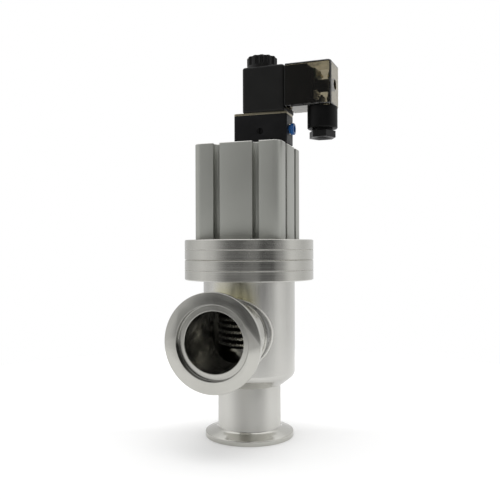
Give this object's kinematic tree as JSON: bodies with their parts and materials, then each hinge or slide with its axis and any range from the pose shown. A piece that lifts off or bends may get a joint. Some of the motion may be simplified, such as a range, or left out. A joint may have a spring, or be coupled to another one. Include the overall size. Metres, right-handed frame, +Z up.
{
  "type": "vacuum valve",
  "caption": "Air-operated, bellows-sealed right-angle high-vacuum valve with quick-clamp flanges, slotted air cylinder and solenoid pilot.",
  "frame": {"origin": "centre of the bottom flange's face", "axes": "+Z up along the valve's axis, side port along -Y, pilot valve's plug along +X"},
  "size_m": [0.0963, 0.1051, 0.2343],
  "materials": {
    "stainless_turned": "turned stainless steel",
    "stainless_tube": "satin polished stainless tube",
    "stainless_sheet": "bright thin stainless sheet",
    "anodised_aluminium": "clear anodised extrusion",
    "machined_aluminium": "machined aluminium",
    "black_base": "black moulded base",
    "black_coil": "black moulding compound",
    "black_nylon": "black moulded nylon",
    "smoke_clear": "smoke-tinted clear plastic",
    "blue_acetal": "blue moulded acetal",
    "zinc_steel": "zinc-plated steel",
    "screw_steel": "stainless screw",
    "rubber_seal": "fluoroelastomer",
    "bronze_bush": "sintered bronze",
    "spring_steel": "spring steel",
    "magnet": "bonded magnet",
    "board_green": "circuit board",
    "brass_blade": "tinned brass"
  },
  "bodies": {
    "housing": {"bottom_port": "stainless_turned", "side_port": "stainless_turned", "body_shell": "stainless_tube", "body_flange": "stainless_turned", "bonnet_flange": "stainless_turned", "bonnet_seal": "rubber_seal", "bellows_collar": "stainless_turned", "guide_bush": "bronze_bush", "rod_seal": "rubber_seal", "bonnet_screws": "screw_steel", "tie_screws": "screw_steel", "bellows": "stainless_sheet", "cylinder_barrel": "anodised_aluminium", "barrel_seal": "rubber_seal", "duct_plug": "brass_blade", "return_spring": "spring_steel", "pilot_base": "black_base", "base_gasket": "rubber_seal", "tube_plate": "zinc_steel", "pilot_screws": "zinc_steel", "armature_tube": "stainless_turned", "plunger_spring": "spring_steel", "tube_seal": "rubber_seal", "coil": "black_coil", "coil_terminals": "brass_blade", "coil_nut": "black_nylon", "connector_gasket": "rubber_seal", "connector_housing": "smoke_clear", "terminal_insert": "black_nylon", "circuit_board": "board_green", "connector_screw": "zinc_steel", "gland_block": "black_nylon", "gland_nut": "black_nylon", "gland_grommet": "rubber_seal", "fitting_body": "brass_blade", "fitting_seal": "rubber_seal"},
    "valve_stem": {"stem": "stainless_turned", "poppet_disc": "stainless_turned", "poppet_seal": "rubber_seal", "piston": "machined_aluminium", "piston_nut": "screw_steel", "piston_seal": "rubber_seal", "magnet_ring": "magnet"},
    "pilot_plunger": {"plunger": "stainless_turned", "plunger_pad": "rubber_seal"},
    "hose_release": {"release_ring": "blue_acetal"},
    "manual_override": {"override_screw": "black_nylon"}
  },
  "joints": [
    {"name": "valve_lift", "type": "slide", "parent": "housing", "child": "valve_stem", "axis": [0, 0, 1], "range_m": [0, 0.014], "stiffness_N_per_m": 4000, "springref_m": -0.015, "deforming": ["bellows", "return_spring"]},
    {"name": "plunger_lift", "type": "slide", "parent": "housing", "child": "pilot_plunger", "axis": [0, 0, 1], "range_m": [0, 0.0009], "stiffness_N_per_m": 600, "springref_m": -0.002, "deforming": ["plunger_spring"]},
    {"name": "release_push", "type": "slide", "parent": "housing", "child": "hose_release", "axis": [-1, 0, 0], "range_m": [0, 0.001], "stiffness_N_per_m": 1500, "springref_m": -0.001},
    {"name": "override_turn", "type": "hinge", "parent": "housing", "child": "manual_override", "pos_m": [0.0104, -0.01, 0.1874], "axis": [0, -1, 0], "range_deg": [0, 90]}
  ]
}
